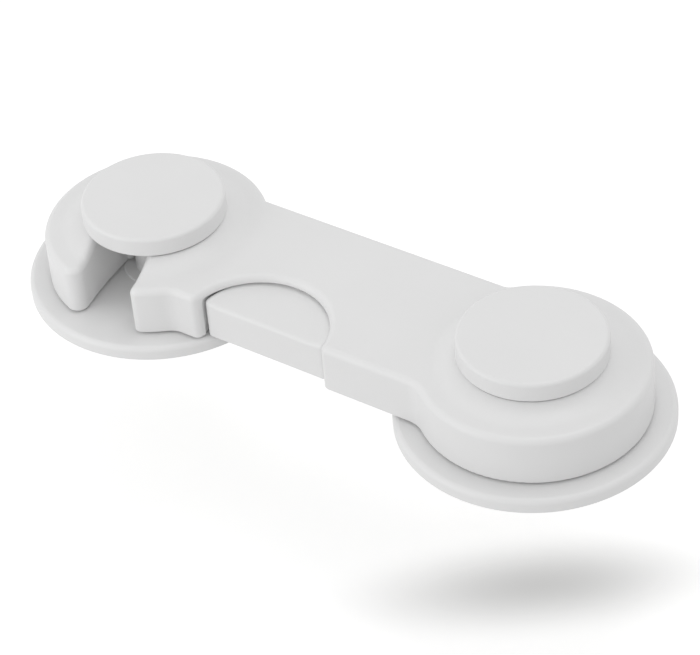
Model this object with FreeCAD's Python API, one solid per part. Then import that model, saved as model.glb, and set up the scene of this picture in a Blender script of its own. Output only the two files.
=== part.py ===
import FreeCAD, Part
import math
import os

V = FreeCAD.Vector

# Child safety lock for cabinets and drawers, in millimetres.
# z = 0 is the face of the adhesive pads, where the lock meets the furniture. The hinge axis is the
# Z axis, the arm runs along -X to the striker, and the slot's mouth and the button face -Y.

# Layout
AXIS_SPACING = 88.0     # hinge axis to striker axis
EMBED = 0.8             # overlap of pieces that are fused

# Adhesive pads and bases
PAD_T = 1.2             # foam pad
PAD_SET_IN = 1.6        # pad's edge inside the base's edge
PAD_RECESS = 0.4        # depth of the seat in the base that takes the pad
PAD_FIT = 0.2           # gap round the pad in its seat
BASE_R = 27.1
BASE_T = 2.9
BASE_EDGE = 1.2         # rounding of the base's upper edge
RING_W = 2.4            # bearing ring round the post that carries the arm
POST_R = 5.3

# Caps
CAP_R = 14.5
CAP_T = 4.0
CAP_EDGE = 0.7          # rounding of the cap's upper edge
CAP_WALL = 2.0
SPIGOT_R = 3.3
SPIGOT_LEN = 6.0
SPIGOT_FIT = 0.1
SPIGOT_END_GAP = 0.3
CAP_RIB_T = 1.2
CAP_RIBS = 6

# Cap screws, driven from below through the hollow post
CAP_SCREW_R = 1.45
CAP_SCREW_LEN = 9.0
CAP_SCREW_HEAD_R = 2.7
CAP_SCREW_HEAD_H = 1.8
WEB_T = 2.0             # web in the post that the screw head bears on

# Arm
ARM_LIFT = 0.45         # gap between base and arm
ARM_H = 10.35
CAP_LIFT = 2.4          # arm's top face to the cap's underside
HEAD_R = 22.65
BAR_HALF = 16.55
TOP_EDGE = 1.4          # rounding of the arm's upper edges
FOOT_EDGE = 0.25        # rounding of the arm's lower edges
WALL = 2.0
FRONT_BLEND = 6.0       # hollow between bar and hinge head, button side
BACK_BLEND = 2.0        # the same at the back
HOOK_BACK_BLEND = 0.6   # nearly sharp corner between bar and hook, at the back
HOOK_FRONT_BLEND = 4.5
FLARE_R = 14.2          # each head rises to a flat top of this radius under its cap
FLARE_W = 6.3           # width of the hollow flare that leads up to it
FLARE_SINK = 0.05       # the flare's lowest point under the arm's top face
FACE_RUN = 0.1          # running gap between flat turning faces
CAP_RUN = 0.4           # head to cap
HUB_RUN = 0.06          # radial running gap of the hinge
HUB_WALL = 1.9
RIB_T = 1.2
SPOKES = 6
FIRST_SPOKE = 30.0      # degrees; two of the spokes meet the bar's ribs

# Slot of the hook, an arc about the hinge axis
SEAT_CLEAR = 0.6
SLOT_OUT = 0.3          # slot's centre line outside the striker axis
LIP_TIP_R = 2.2         # rounding of the hook's tip
LIP_CORNER_R = 1.5      # rounding of the other corners of the front face
NUB_R = 0.95            # bump that steadies the post in its seat
NUB_Y = -2.4

# Cut-out and button
BUTTON_X = -52.0
RECESS_R = 14.65
RECESS_OUT = 0.75       # centre of the cut-out in front of the bar's front face
RECESS_PLATE = 1.5      # top wall over the button
BUTTON_GAP = 0.2        # button under that wall
BUTTON_SET_BACK = 2.15  # button's front face behind the bar's
BUTTON_SIDE_GAP = 0.35  # button to the side walls of the cut-out
BUTTON_SKIN = 1.8
BUTTON_SKIRT = 1.6
BUTTON_CORNER = 1.2
BUTTON_EDGE = 0.8
DISH = 0.6              # depth of the finger dish in the button's top
DISH_W = 4.2            # width of the dish's rise to the button's round edge
PRESS = 3.5             # travel of the button, and of the bolt that it draws back
GUIDE_T = 1.6
SLIDE_GAP = 0.25        # side clearance of sliding pieces
LIFT_GAP = 0.3          # clearance above and below them
TAIL_HALF = 6.0
TAIL_BAR_HALF = 10.5
TAIL_BAR_T = 2.0
STOP_T = 0.9
STOP_W = 2.2

# Latch bolt
BOLT_T = 2.45
BOLT_W = 3.4
BOLT_OUT = 3.2          # how far the nose stands in the slot
NOSE_GAP = 0.4          # nose to post
PIN_R = 1.5
PIN_FROM_CENTRE = -5.5
YOKE_MARGIN = 1.7

# Button spring
WIRE_R = 0.3
COIL_R = 2.1
COIL_TURNS = 6
PEG_R = 1.4
PEG_LEN = 3.0

# Cover and its screws
COVER_T = 1.8
COVER_FIT = 0.15
RIB_CLEAR = 0.1         # ribs above the cover
COVER_BOSS_R = 3.4
COVER_BOSS_H = 1.0
SCREW_WELL_R = 2.4
SCREW_WELL = 1.5
BOSS_R = 2.6
BOSS_FIT = 0.05
COVER_SCREW_R = 0.95
COVER_SCREW_LEN = 6.0
COVER_SCREW_HEAD_R = 2.1
COVER_SCREW_HEAD_H = 1.3
THREAD_FIT = 0.05       # screw in its pilot hole
SHANK_FIT = 0.2         # screw in a plain hole
HINGE_BOSS_R = 17.0
HOOK_BOSS_R = 14.5
HOOK_BOSS_ANGLES = (34.0, 200.0)
HOOK_RIB_ANGLES = (90.0, 145.0)
BAR_BOSS_X = -28.0

# Heights and places worked out from the sizes above
BASE_Z = PAD_T - PAD_RECESS
BASE_TOP = BASE_Z + BASE_T
ARM_Z = BASE_TOP + ARM_LIFT
ARM_TOP = ARM_Z + ARM_H
CAP_Z = ARM_TOP + CAP_LIFT
CEILING = ARM_TOP - WALL
HEAD_TOP = CAP_Z - CAP_RUN
COVER_TOP = ARM_Z + COVER_T
RIB_Z = COVER_TOP + RIB_CLEAR
SOCKET_Z = CAP_Z - SPIGOT_LEN - SPIGOT_END_GAP
WEB_Z = SOCKET_Z - WEB_T
HUB_R = POST_R + HUB_RUN + HUB_WALL
STRIKER = (-AXIS_SPACING, 0.0)
HINGE = (0.0, 0.0)
SLOT_R = AXIS_SPACING + SLOT_OUT
SLOT_HALF = POST_R + SEAT_CLEAR
RECESS_Y = -BAR_HALF - RECESS_OUT
BUTTON_Y = -BAR_HALF + BUTTON_SET_BACK
BUTTON_R = RECESS_R - BUTTON_SIDE_GAP
BUTTON_TOP = ARM_TOP - RECESS_PLATE - BUTTON_GAP
NOSE_X = -(SLOT_R - SLOT_HALF) - BOLT_OUT
BOLT_Y = -math.sqrt((POST_R + NOSE_GAP) ** 2 - (NOSE_X + AXIS_SPACING) ** 2) - BOLT_W / 2
BOLT_Z = COVER_TOP + LIFT_GAP
BOLT_TOP = BOLT_Z + BOLT_T
SKIRT_Z = BOLT_TOP + LIFT_GAP
FRONT_INNER = BUTTON_Y + BUTTON_SKIN
YOKE_HALF = PIN_R + SLIDE_GAP + YOKE_MARGIN
PIN_X = BUTTON_X + PIN_FROM_CENTRE
PIN_Y = FRONT_INNER + PRESS + LIFT_GAP + YOKE_HALF
TAIL_Y = PIN_Y + PRESS + YOKE_HALF + LIFT_GAP
TAIL_BACK = TAIL_Y + TAIL_BAR_T
BACK_WALL_Y = BAR_HALF - WALL
PEG_Z = (BOLT_Z + BUTTON_TOP) / 2
NOTCH_Y = FRONT_INNER + PRESS + LIFT_GAP / 2
PILOT_TOP = CEILING - WALL / 4
RIB_TOP = CEILING + EMBED
TINY = 0.001            # for telling edges apart


def cyl(r, z0, z1, at=HINGE):
    return Part.makeCylinder(r, z1 - z0, V(at[0], at[1], z0))


def block(x0, x1, y0, y1, z0, z1):
    return Part.makeBox(x1 - x0, y1 - y0, z1 - z0, V(x0, y0, z0))


def line(a, b):
    return Part.LineSegment(a, b).toShape()


def arc(a, mid, b):
    return Part.Arc(a, mid, b).toShape()


def prism(edges, z0, z1):
    """Upright solid on a closed outline drawn at z = 0."""
    face = Part.Face(Part.Wire(edges))
    face.translate(V(0, 0, z0))
    return face.extrude(V(0, 0, z1 - z0))


def level_edges(shape, z):
    """Edges that lie wholly at height z."""
    return [e for e in shape.Edges
            if abs(e.BoundBox.ZMin - z) < TINY and abs(e.BoundBox.ZMax - z) < TINY]


def wall_tops(shape, z0, z1):
    """Upper edges of the upright walls, from height z0 to below z1."""
    found = []
    for wall in shape.Faces:
        if wall.BoundBox.ZMin < z0 - EMBED:
            found += [e for e in wall.Edges
                      if e.BoundBox.ZMin > z0 - TINY and e.BoundBox.ZMin < z1 - TINY]
    return found


def upright_edges(shape, x, y, near=0.05):
    """Upright edges that stand at the point x, y."""
    found = []
    for e in shape.Edges:
        ends = [v.Point for v in e.Vertexes]
        if len(ends) == 2 and abs(ends[0].z - ends[1].z) > TINY:
            if all(math.hypot(p.x - x, p.y - y) < near for p in ends):
                found.append(e)
    return found


def polar(centre, r, degrees):
    a = math.radians(degrees)
    return (centre[0] + r * math.cos(a), centre[1] + r * math.sin(a))


def junction(head, toward, side, blend, inset):
    """Arc that joins a head's circle to the bar's edge: its ends on the head and the bar, and its middle."""
    r, half, b = HEAD_R - inset, BAR_HALF - inset, blend + inset
    run = math.sqrt((r + b) ** 2 - (half + b) ** 2)
    centre = V(head[0], head[1], 0)
    hollow = V(head[0] + toward * run, side * (half + b), 0)
    on_head = centre + (hollow - centre) * (r / (r + b))
    on_bar = V(hollow.x, side * half, 0)
    middle = hollow + ((on_head - hollow) + (on_bar - hollow)).normalize() * b
    return on_head, middle, on_bar


def arm_plan(inset, z0, z1):
    """The arm's outline, drawn in by inset, as an upright solid without slot or cut-out."""
    r = HEAD_R - inset
    hf = junction(HINGE, -1, -1, FRONT_BLEND, inset)
    hb = junction(HINGE, -1, 1, BACK_BLEND, inset)
    sb = junction(STRIKER, 1, 1, HOOK_BACK_BLEND, inset)
    sf = junction(STRIKER, 1, -1, HOOK_FRONT_BLEND, inset)
    edges = [
        arc(hf[0], V(r, 0, 0), hb[0]),
        arc(hb[0], hb[1], hb[2]),
        line(hb[2], sb[2]),
        arc(sb[2], sb[1], sb[0]),
        arc(sb[0], V(STRIKER[0] - r, 0, 0), sf[0]),
        arc(sf[0], sf[1], sf[2]),
        line(sf[2], hf[2]),
        arc(hf[2], hf[1], hf[0]),
    ]
    return prism(edges, z0, z1)


def slot_space(grow, z0, z1):
    """The hook's slot as a solid: an arc about the hinge axis that ends in a round seat."""
    inner, outer = SLOT_R - SLOT_HALF - grow, SLOT_R + SLOT_HALF + grow
    sweep = math.degrees(math.asin((HEAD_R + SLOT_HALF) / inner))

    def at(r, degrees):
        return V(-r * math.cos(math.radians(degrees)), -r * math.sin(math.radians(degrees)), 0)

    edges = [
        arc(at(outer, 0), at(outer, sweep / 2), at(outer, sweep)),
        line(at(outer, sweep), at(inner, sweep)),
        arc(at(inner, sweep), at(inner, sweep / 2), at(inner, 0)),
        line(at(inner, 0), at(outer, 0)),
    ]
    seat = cyl(SLOT_HALF + grow, z0, z1, (-SLOT_R, 0))
    return prism(edges, z0, z1).fuse(seat)


def mouth_corner(r):
    """Where an arc of radius r about the hinge axis leaves the hook's round outline."""
    x = -(AXIS_SPACING ** 2 + r ** 2 - HEAD_R ** 2) / (2 * AXIS_SPACING)
    return x, -math.sqrt(r ** 2 - x ** 2)


def track(a, b, half, z0, z1):
    """Upright solid with parallel sides and round ends, from point a to point b."""
    p, q = V(a[0], a[1], 0), V(b[0], b[1], 0)
    along = (q - p).normalize() * half
    side = V(-along.y, along.x, 0)
    edges = [
        line(p - side, q - side),
        arc(q - side, q + along, q + side),
        line(q + side, p + side),
        arc(p + side, p - along, p - side),
    ]
    return prism(edges, z0, z1)


def base(at):
    """Round adhesive base with a bearing ring and a hollow post."""
    disc = cyl(BASE_R, BASE_Z, BASE_TOP, at)
    disc = disc.makeFillet(BASE_EDGE, level_edges(disc, BASE_TOP))
    ring = cyl(POST_R + RING_W, BASE_TOP - EMBED, ARM_Z - FACE_RUN, at)
    body = disc.fuse([ring, cyl(POST_R, BASE_TOP - EMBED, CAP_Z, at)])
    pad_seat = cyl(BASE_R - PAD_SET_IN + PAD_FIT, BASE_Z, BASE_Z + PAD_RECESS, at)
    well = cyl(CAP_SCREW_HEAD_R + SHANK_FIT, BASE_Z, WEB_Z, at)
    hole = cyl(CAP_SCREW_R + SHANK_FIT, WEB_Z - EMBED, SOCKET_Z + EMBED, at)
    socket = cyl(SPIGOT_R + SPIGOT_FIT, SOCKET_Z, CAP_Z, at)
    return body.cut([pad_seat, well, hole, socket])


def pad(at):
    return cyl(BASE_R - PAD_SET_IN, 0, PAD_T, at)


def cap(at):
    """Disc cap, cored out below between a rim and a hub with ribs, on a spigot."""
    top = CAP_Z + CAP_T
    disc = cyl(CAP_R, CAP_Z, top, at)
    disc = disc.makeFillet(CAP_EDGE, level_edges(disc, top))
    core = cyl(CAP_R - CAP_WALL, CAP_Z, top - CAP_WALL, at).cut(cyl(POST_R, CAP_Z, top, at))
    for k in range(CAP_RIBS):
        rib = block(at[0], at[0] + CAP_R, at[1] - CAP_RIB_T / 2, at[1] + CAP_RIB_T / 2, CAP_Z, top)
        rib.rotate(V(at[0], at[1], 0), V(0, 0, 1), k * 360.0 / CAP_RIBS)
        core = core.cut(rib)
    spigot = cyl(SPIGOT_R, CAP_Z - SPIGOT_LEN, CAP_Z + EMBED, at)
    pilot = cyl(CAP_SCREW_R + THREAD_FIT, CAP_Z - SPIGOT_LEN, WEB_Z + CAP_SCREW_LEN + THREAD_FIT, at)
    return disc.cut(core).fuse(spigot).cut(pilot)


def screw(at, seat_z, r, length, head_r, head_h):
    """Self-tapping screw, head down, with a cross recess and a pointed tip."""
    head = cyl(head_r, seat_z - head_h, seat_z, at)
    head = head.makeFillet(head_h / 3, level_edges(head, seat_z - head_h))
    shank = cyl(r, seat_z, seat_z + length - r, at)
    tip = Part.makeCone(r, r / 4, r, V(at[0], at[1], seat_z + length - r))
    body = head.fuse([shank, tip])
    arm, half = head_r * 0.6, r * 0.3
    low, deep = seat_z - head_h, seat_z - head_h / 2
    recess = block(at[0] - arm, at[0] + arm, at[1] - half, at[1] + half, low, deep)
    recess = recess.fuse(block(at[0] - half, at[0] + half, at[1] - arm, at[1] + arm, low, deep))
    return body.cut(recess)


def cover_screw_places():
    spokes = [FIRST_SPOKE, FIRST_SPOKE + 240.0]
    places = [polar(HINGE, HINGE_BOSS_R, a) for a in spokes]
    places += [polar(STRIKER, HOOK_BOSS_R, a) for a in HOOK_BOSS_ANGLES]
    return places + [(BAR_BOSS_X, 0.0)]


def flare(at):
    """A head's rise towards its cap, turned from its section: a hollow arc up to a flat top."""
    def at_r(r, z):
        return V(at[0] + r, at[1], z)

    low, foot_r = ARM_TOP - FLARE_SINK, FLARE_R + FLARE_W
    rise = HEAD_TOP - low
    radius = (FLARE_W ** 2 + rise ** 2) / (2 * rise)
    turn = math.asin(FLARE_W / radius) / 2
    middle = at_r(foot_r - radius * math.sin(turn), low + radius - radius * math.cos(turn))
    section = [
        line(at_r(0, CEILING), at_r(foot_r, CEILING)),
        line(at_r(foot_r, CEILING), at_r(foot_r, low)),
        arc(at_r(foot_r, low), middle, at_r(FLARE_R, HEAD_TOP)),
        line(at_r(FLARE_R, HEAD_TOP), at_r(0, HEAD_TOP)),
        line(at_r(0, HEAD_TOP), at_r(0, CEILING)),
    ]
    return Part.Face(Part.Wire(section)).revolve(at_r(0, 0), V(0, 0, 1), 360)


def arm_outside():
    """The arm's outer form, solid: outline, flared heads, slot, cut-out and rounded edges."""
    body = arm_plan(0, ARM_Z, ARM_TOP).fuse([flare(HINGE), flare(STRIKER)])
    body = body.cut(slot_space(0, ARM_Z, CAP_Z))
    body = body.cut(cyl(RECESS_R, ARM_Z, ARM_TOP, (BUTTON_X, RECESS_Y)))
    tip = upright_edges(body, *mouth_corner(SLOT_R + SLOT_HALF))
    half = math.sqrt(RECESS_R ** 2 - RECESS_OUT ** 2)
    corners = upright_edges(body, *mouth_corner(SLOT_R - SLOT_HALF))
    corners += upright_edges(body, BUTTON_X - half, -BAR_HALF)
    corners += upright_edges(body, BUTTON_X + half, -BAR_HALF)
    body = body.makeFillet(LIP_TIP_R, tip)
    corners = [e for c in corners for e in upright_edges(body, c.Vertexes[0].X, c.Vertexes[0].Y)]
    body = body.makeFillet(LIP_CORNER_R, corners)
    body = body.makeFillet(TOP_EDGE, wall_tops(body, ARM_TOP, HEAD_TOP))
    return body.makeFillet(FOOT_EDGE, level_edges(body, ARM_Z))


def rib_at(centre, r0, r1, degrees):
    """Upright rib along a radius, from the cover to the top wall."""
    rib = block(centre[0] + r0, centre[0] + r1, centre[1] - RIB_T / 2, centre[1] + RIB_T / 2,
                RIB_Z, RIB_TOP)
    rib.rotate(V(centre[0], centre[1], 0), V(0, 0, 1), degrees)
    return rib


def inside_ribs():
    """Ribs that stiffen the heads and the bar, and the walls and rails that guide the button and bolt."""
    half = RIB_T / 2
    bar_rib_y = BAR_HALF / 2
    meeting = bar_rib_y / math.sin(math.radians(FIRST_SPOKE))
    ribs = []
    for k in range(SPOKES):
        degrees = FIRST_SPOKE + k * 360.0 / SPOKES
        to_bar = math.cos(math.radians(degrees)) < -0.5
        ribs.append(rib_at(HINGE, HUB_R - HUB_WALL / 2, meeting if to_bar else HEAD_R - WALL / 2, degrees))
    ribs += [rib_at(STRIKER, SLOT_HALF + WALL / 2, HEAD_R + 3 * WALL, a)
             for a in HOOK_BOSS_ANGLES + HOOK_RIB_ANGLES]
    wall_x = RECESS_R + GUIDE_T
    wall_y = -BAR_HALF + WALL / 2
    stop_y = TAIL_Y - FACE_RUN
    tail_x = TAIL_BAR_HALF + SLIDE_GAP
    for side in (-1, 1):
        y = side * bar_rib_y
        ribs.append(block(BUTTON_X + wall_x - GUIDE_T / 2, half - meeting * math.cos(math.radians(FIRST_SPOKE)),
                          y - half, y + half, RIB_Z, RIB_TOP))
        x0, x1 = sorted((BUTTON_X + side * RECESS_R, BUTTON_X + side * wall_x))
        ribs.append(block(x0, x1, wall_y, TAIL_BACK, RIB_Z, RIB_TOP))
        x0, x1 = sorted((BUTTON_X + side * (RECESS_R + FOOT_EDGE), BUTTON_X + side * wall_x))
        ribs.append(block(x0, x1, wall_y, NOTCH_Y - COVER_FIT, ARM_Z, RIB_TOP))
        x0, x1 = sorted((BUTTON_X + side * tail_x, BUTTON_X + side * (tail_x + RIB_T)))
        ribs.append(block(x0, x1, stop_y - STOP_T, BAR_HALF - WALL / 2, SKIRT_Z, RIB_TOP))
        x0, x1 = sorted((BUTTON_X + side * (tail_x + half), BUTTON_X + side * (tail_x - STOP_W)))
        ribs.append(block(x0, x1, stop_y - STOP_T, stop_y, SKIRT_Z, RIB_TOP))
    rail_x0 = -math.sqrt((SLOT_R - SLOT_HALF) ** 2 - BOLT_Y ** 2)
    rail_x1 = BUTTON_X - RECESS_R - GUIDE_T / 2
    gap = BOLT_W / 2 + SLIDE_GAP
    for side in (-1, 1):
        y0, y1 = sorted((BOLT_Y + side * gap, BOLT_Y + side * (gap + RIB_T)))
        ribs.append(block(rail_x0 + WALL / 2, rail_x1, y0, y1, RIB_Z, RIB_TOP))
    for share in (0.3, 0.75):
        x = rail_x0 + share * (rail_x1 - rail_x0)
        ribs.append(block(x - half, x + half, BOLT_Y - gap - half, BOLT_Y + gap + half,
                          SKIRT_Z - LIFT_GAP / 2, RIB_TOP))
    inside = arm_plan(WALL / 2, ARM_Z, ARM_TOP)
    return [rib.common(inside) for rib in ribs]


def spring_peg(y0, y1):
    return Part.makeCylinder(PEG_R, y1 - y0, V(BUTTON_X, y0, PEG_Z), V(0, 1, 0))


def arm_shell():
    """Upper moulding of the arm: a shell open below, with hub, slot walls, ribs and bosses."""
    body = arm_outside()
    nub = (-math.sqrt((SLOT_R + SLOT_HALF) ** 2 - NUB_Y ** 2), NUB_Y)
    cavity = arm_plan(WALL, ARM_Z, CEILING).cut(slot_space(WALL, ARM_Z, CEILING))
    for at in (HINGE, STRIKER):
        core = cyl(FLARE_R - WALL, CEILING - EMBED, HEAD_TOP - WALL, at)
        core = core.cut(slot_space(WALL, CEILING - WALL, CAP_Z))
        cavity = cavity.fuse(core)
    cavity = cavity.cut(cyl(HUB_R, ARM_Z, HEAD_TOP, HINGE))
    pocket = block(BUTTON_X - RECESS_R, BUTTON_X + RECESS_R, BUTTON_Y, TAIL_BACK + PRESS + LIFT_GAP,
                   CEILING - EMBED, ARM_TOP - RECESS_PLATE)
    body = body.cut(cavity.fuse(pocket))
    boss_z = COVER_TOP + COVER_BOSS_H + BOSS_FIT
    room = [cyl(COVER_BOSS_R + COVER_FIT, ARM_Z, boss_z, p) for p in cover_screw_places()]
    room.append(cyl(HUB_R - HUB_WALL / 2, ARM_Z, ARM_TOP, HINGE))
    ribs = Part.makeCompound(inside_ribs()).cut(room)
    bosses = [cyl(BOSS_R, boss_z, RIB_TOP, p) for p in cover_screw_places()]
    peg = spring_peg(BACK_WALL_Y - PEG_LEN, BACK_WALL_Y + WALL / 4)
    body = body.fuse(ribs.Solids + bosses + [peg, cyl(NUB_R, ARM_Z + 2 * FOOT_EDGE, ARM_TOP, nub)])
    pilots = [cyl(COVER_SCREW_R + THREAD_FIT, ARM_Z, PILOT_TOP, p) for p in cover_screw_places()]
    bolt_y = (BOLT_Y - BOLT_W / 2 - SLIDE_GAP, BOLT_Y + BOLT_W / 2 + SLIDE_GAP)
    gate = block(-SLOT_R - SLOT_HALF / 2, BUTTON_X - RECESS_R + EMBED, bolt_y[0], bolt_y[1],
                 COVER_TOP, BOLT_TOP + SLIDE_GAP)
    bore = cyl(POST_R + HUB_RUN, ARM_Z, HEAD_TOP, HINGE)
    return body.cut(pilots + [gate, bore])


def arm_cover():
    """Plate that closes the arm's underside, with a boss at each screw."""
    inset = WALL + COVER_FIT
    plate = arm_plan(inset, ARM_Z, COVER_TOP).cut(slot_space(inset, ARM_Z, COVER_TOP))
    half = RECESS_R + GUIDE_T + COVER_FIT
    notch = block(BUTTON_X - half, BUTTON_X + half, -BAR_HALF, NOTCH_Y, ARM_Z, COVER_TOP)
    plate = plate.cut([notch, cyl(HUB_R + COVER_FIT, ARM_Z, COVER_TOP, HINGE)])
    top = COVER_TOP + COVER_BOSS_H
    places = cover_screw_places()
    plate = plate.fuse([cyl(COVER_BOSS_R, COVER_TOP - EMBED, top, p) for p in places])
    wells = [cyl(SCREW_WELL_R, ARM_Z, ARM_Z + SCREW_WELL, p) for p in places]
    holes = [cyl(COVER_SCREW_R + SHANK_FIT, ARM_Z, top, p) for p in places]
    return plate.cut(wells + holes)


def cover_screws():
    return Part.makeCompound([
        screw(p, ARM_Z + SCREW_WELL, COVER_SCREW_R, COVER_SCREW_LEN, COVER_SCREW_HEAD_R, COVER_SCREW_HEAD_H)
        for p in cover_screw_places()])


def half_disc(r, y, z0, z1):
    """D-shaped upright solid, its flat side at y and its round side towards the back."""
    a, b = V(BUTTON_X - r, y, 0), V(BUTTON_X + r, y, 0)
    return prism([line(a, b), arc(b, V(BUTTON_X, y + r, 0), a)], z0, z1)


def finger_dish():
    """Tool for the dish in the button's top: a flat floor, and a hollow rise that passes the round edge."""
    floor = BUTTON_TOP - DISH
    radius = (DISH_W ** 2 + DISH ** 2) / (2 * DISH)
    end = math.asin((DISH_W + EMBED) / radius)

    def on_rise(turn):
        return V(BUTTON_X + BUTTON_R - DISH_W + radius * math.sin(turn), BUTTON_Y,
                 floor + radius - radius * math.cos(turn))

    axis, outer = V(BUTTON_X, BUTTON_Y, floor), on_rise(end)
    section = [
        line(axis, on_rise(0)),
        arc(on_rise(0), on_rise(end / 2), outer),
        line(outer, V(outer.x, BUTTON_Y, ARM_TOP)),
        line(V(outer.x, BUTTON_Y, ARM_TOP), V(BUTTON_X, BUTTON_Y, ARM_TOP)),
        line(V(BUTTON_X, BUTTON_Y, ARM_TOP), axis),
    ]
    return Part.Face(Part.Wire(section)).revolve(axis, V(0, 0, 1), 360)


def push_button():
    """D-shaped button with a skirt, a guided tail that stops it and a pin that drives the bolt."""
    outer = half_disc(BUTTON_R, BUTTON_Y, ARM_Z, BUTTON_TOP + EMBED)
    corners = [e for s in (-1, 1) for e in upright_edges(outer, BUTTON_X + s * BUTTON_R, BUTTON_Y)]
    outer = outer.makeFillet(BUTTON_CORNER, corners)
    outer = outer.cut(finger_dish())
    outer = outer.makeFillet(BUTTON_EDGE, wall_tops(outer, BUTTON_TOP - DISH, ARM_TOP))
    below = block(BUTTON_X - BUTTON_R, BUTTON_X + BUTTON_R, FRONT_INNER, BUTTON_Y + BUTTON_R, ARM_Z, SKIRT_Z)
    hollow = half_disc(BUTTON_R - BUTTON_SKIRT, FRONT_INNER, SKIRT_Z - EMBED, BUTTON_TOP - BUTTON_SKIN)
    for side in (-1, 1):
        x = BUTTON_X + side * TAIL_HALF
        hollow = hollow.cut(block(x - RIB_T / 2, x + RIB_T / 2, BUTTON_Y, TAIL_BACK, ARM_Z, BUTTON_TOP))
    body = outer.cut([below, hollow])
    root_y = BUTTON_Y + BUTTON_R - BUTTON_SKIRT
    web = block(BUTTON_X - TAIL_HALF, BUTTON_X + TAIL_HALF, root_y, TAIL_BACK, SKIRT_Z, BUTTON_TOP)
    bar = block(BUTTON_X - TAIL_BAR_HALF, BUTTON_X + TAIL_BAR_HALF, TAIL_Y, TAIL_BACK, SKIRT_Z, BUTTON_TOP)
    foot = block(BUTTON_X - TAIL_HALF, BUTTON_X + TAIL_HALF, TAIL_Y, TAIL_BACK, BOLT_Z, BUTTON_TOP)
    pin = cyl(PIN_R, BOLT_Z, BUTTON_TOP - BUTTON_SKIN / 2, (PIN_X, PIN_Y))
    peg = spring_peg(TAIL_BACK - EMBED, TAIL_BACK + PEG_LEN)
    return body.fuse([web, bar, foot, pin, peg])


def latch_bolt():
    """Flat bolt: a ramped nose in the slot, a neck between rails and a yoke with a slanted slot."""
    tip_x = NOSE_X
    y0, y1 = BOLT_Y - BOLT_W / 2, BOLT_Y + BOLT_W / 2
    yoke = block(PIN_X - PRESS - YOKE_HALF, PIN_X + YOKE_HALF, PIN_Y - YOKE_HALF,
                 PIN_Y + PRESS + YOKE_HALF, BOLT_Z, BOLT_TOP)
    corners = [e for x in (yoke.BoundBox.XMin, yoke.BoundBox.XMax)
               for y in (yoke.BoundBox.YMin, yoke.BoundBox.YMax) for e in upright_edges(yoke, x, y)]
    yoke = yoke.makeFillet(YOKE_MARGIN, corners)
    neck = block(tip_x, PIN_X - PRESS - YOKE_HALF + YOKE_MARGIN, y0, y1, BOLT_Z, BOLT_TOP)
    ramp = prism([line(V(tip_x, y0, 0), V(tip_x + BOLT_W, y0, 0)),
                  line(V(tip_x + BOLT_W, y0, 0), V(tip_x, y1 - LIFT_GAP, 0)),
                  line(V(tip_x, y1 - LIFT_GAP, 0), V(tip_x, y0, 0))], BOLT_Z, BOLT_TOP)
    slant = track((PIN_X, PIN_Y), (PIN_X - PRESS, PIN_Y + PRESS), PIN_R + SLIDE_GAP, BOLT_Z, BOLT_TOP)
    return neck.fuse(yoke).cut([ramp, slant])


def button_spring():
    """Compression spring between the button's tail and the arm's back wall."""
    length = BACK_WALL_Y - TAIL_BACK - 2 * WIRE_R - 2 * FACE_RUN
    helix = Part.makeHelix(length / COIL_TURNS, length, COIL_R)
    ring = Part.Wire(Part.makeCircle(WIRE_R, V(COIL_R, 0, 0), V(0, 1, 0)))
    coil = Part.Wire(helix.Edges).makePipeShell([ring], True, True)
    coil.rotate(V(0, 0, 0), V(1, 0, 0), -90)
    coil.translate(V(BUTTON_X, TAIL_BACK + WIRE_R + FACE_RUN, PEG_Z))
    return coil


def cap_screw(at):
    return screw(at, WEB_Z, CAP_SCREW_R, CAP_SCREW_LEN, CAP_SCREW_HEAD_R, CAP_SCREW_HEAD_H)


def main():
    os.makedirs("parts", exist_ok=True)
    pieces = {
        "arm_shell": arm_shell(),
        "arm_cover": arm_cover(),
        "cover_screws": cover_screws(),
        "push_button": push_button(),
        "latch_bolt": latch_bolt(),
        "button_spring": button_spring(),
    }
    for name, at in (("hinge", HINGE), ("striker", STRIKER)):
        pieces[name + "_base"] = base(at)
        pieces[name + "_pad"] = pad(at)
        pieces[name + "_cap"] = cap(at)
        pieces[name + "_cap_screw"] = cap_screw(at)
    for name, shape in pieces.items():
        shape.exportStep(os.path.join("parts", name + ".step"))
        print(name, "solids", len(shape.Solids), "valid", shape.isValid(), "volume", round(shape.Volume, 1))


main()
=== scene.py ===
import math

import bmesh
import bpy
from mathutils import Matrix, Vector


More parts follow.
